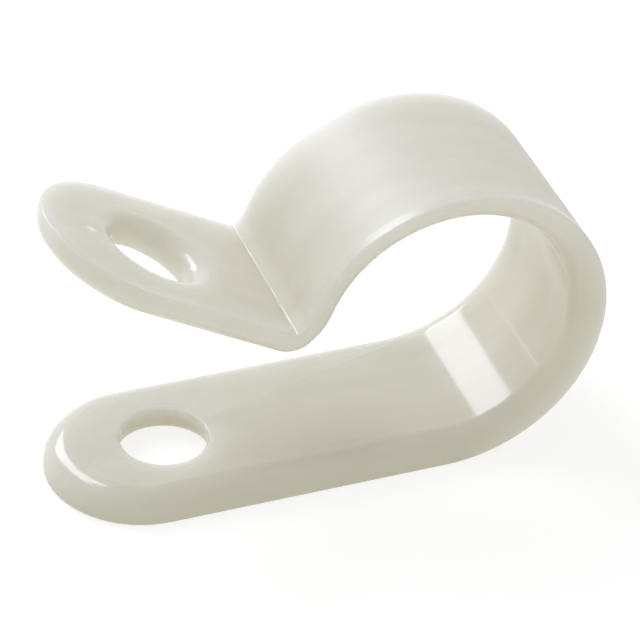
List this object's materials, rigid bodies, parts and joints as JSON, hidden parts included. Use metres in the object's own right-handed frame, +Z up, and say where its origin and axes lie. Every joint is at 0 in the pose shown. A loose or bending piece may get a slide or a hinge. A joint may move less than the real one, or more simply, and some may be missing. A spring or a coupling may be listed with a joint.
{
  "type": "screw mount cable clamp",
  "caption": "One-piece nylon strap clamp: a round loop holds a cable and two legs with screw holes close over it onto a panel.",
  "frame": {"origin": "centre of the lower screw hole on the mounting face, which is the underside of the lower leg", "axes": "+X runs along the lower leg from its screw hole to the loop, +Z points up out of the mounted surface, and Y is across the strap and along the cable"},
  "size_m": [0.0268, 0.0094, 0.0157],
  "materials": {
    "natural_nylon": "satin, milky and slightly translucent"
  },
  "bodies": {
    "root": {"clamp": "natural_nylon"}
  },
  "joints": []
}
